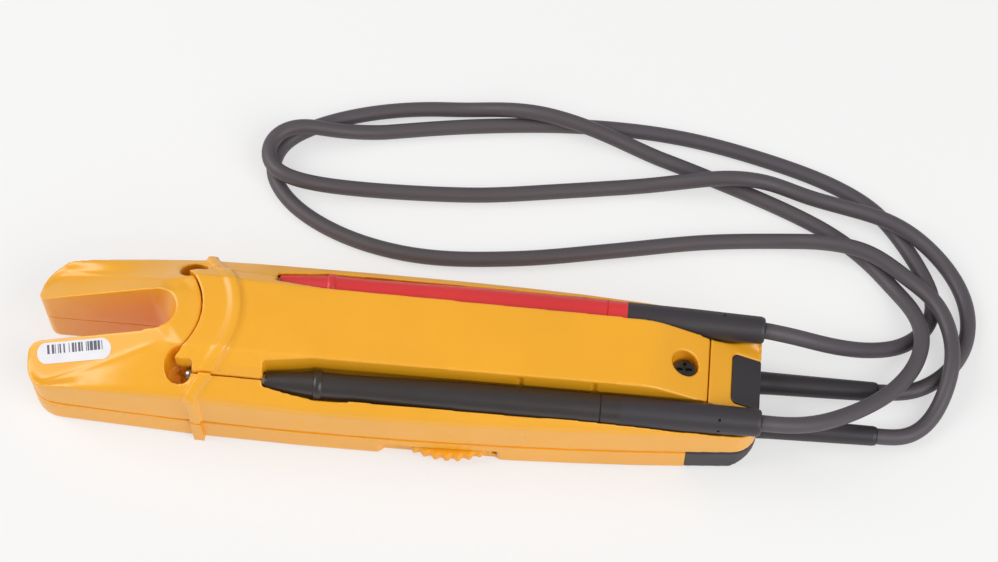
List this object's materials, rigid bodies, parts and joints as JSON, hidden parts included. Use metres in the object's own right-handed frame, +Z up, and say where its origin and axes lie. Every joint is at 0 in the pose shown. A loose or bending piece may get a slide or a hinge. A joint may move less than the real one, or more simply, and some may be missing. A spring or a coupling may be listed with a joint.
{
  "type": "clamp meter",
  "caption": "Open-fork clamp meter lying on its front: yellow moulded case with thumb selector wheel, screwed battery door and fixed test leads whose probes dock in its edges.",
  "frame": {"origin": "middle of the bounding box's bottom face without the leads, on the front face the meter lies on", "axes": "+X along the body from the fork to the lead end, +Y to the red probe's side, +Z up out of the back"},
  "size_m": [0.2908, 0.1297, 0.0398],
  "materials": {
    "yellow_shell": "fine satin moulding",
    "yellow_door": "fine satin moulding",
    "dark_screw": "black oxide",
    "grey_block": "fine texture",
    "grey_rubber": "satin soft vinyl",
    "probe_metal": "plated, slightly dulled",
    "red_plastic": "satin",
    "black_plastic": "satin",
    "lead_jacket": "smooth soft vinyl",
    "amber_wheel": "satin",
    "plain_steel": "plain",
    "lens": "clear",
    "display_green": "plain",
    "board_green": "plain",
    "copper_wire": "enamelled winding",
    "ferrite": "plain",
    "cell_wrap": "plain wrap",
    "white_sticker": "printed paper film"
  },
  "bodies": {
    "case": {"front_case": "yellow_shell", "back_case": "yellow_shell", "end_block": "grey_block", "relief_red": "grey_rubber", "relief_black": "grey_rubber", "red_tip": "probe_metal", "black_tip": "probe_metal", "red_grip": "red_plastic", "black_grip": "black_plastic", "red_collar": "red_plastic", "black_collar": "black_plastic", "red_boot": "grey_rubber", "black_boot": "grey_rubber", "red_cord": "lead_jacket", "black_cord": "lead_jacket", "wheel_spindle": "plain_steel", "detent_spring": "plain_steel", "key_pad": "grey_rubber", "display_lens": "lens", "display_unit": "display_green", "main_board": "board_green", "sounder": "black_plastic", "far_coil": "copper_wire", "near_coil": "copper_wire", "far_core": "ferrite", "near_core": "ferrite", "front_cell": "cell_wrap", "rear_cell": "cell_wrap", "spring_contact": "plain_steel", "plate_contact": "plain_steel", "case_screws": "plain_steel", "tag": "white_sticker"},
    "wheel": {"selector_wheel": "amber_wheel"},
    "key": {"hold_button": "amber_wheel"},
    "door": {"battery_door": "yellow_door"},
    "screw": {"door_screw": "dark_screw"}
  },
  "joints": [
    {"name": "wheel_turn", "type": "hinge", "parent": "case", "child": "wheel", "pos_m": [0.0177, 0, 0.0045], "axis": [0, 0, 1], "range_deg": [0, 150]},
    {"name": "key_press", "type": "slide", "parent": "case", "child": "key", "axis": [0, 0, 1], "range_m": [0, 0.001], "stiffness_N_per_m": 600},
    {"name": "door_lift", "type": "slide", "parent": "case", "child": "door", "axis": [0, 0, 1], "range_m": [0, 0.025]},
    {"name": "screw_turn", "type": "hinge", "parent": "door", "child": "screw", "pos_m": [0.0879, 0, 0.02], "axis": [0, 0, 1], "continuous": true}
  ]
}
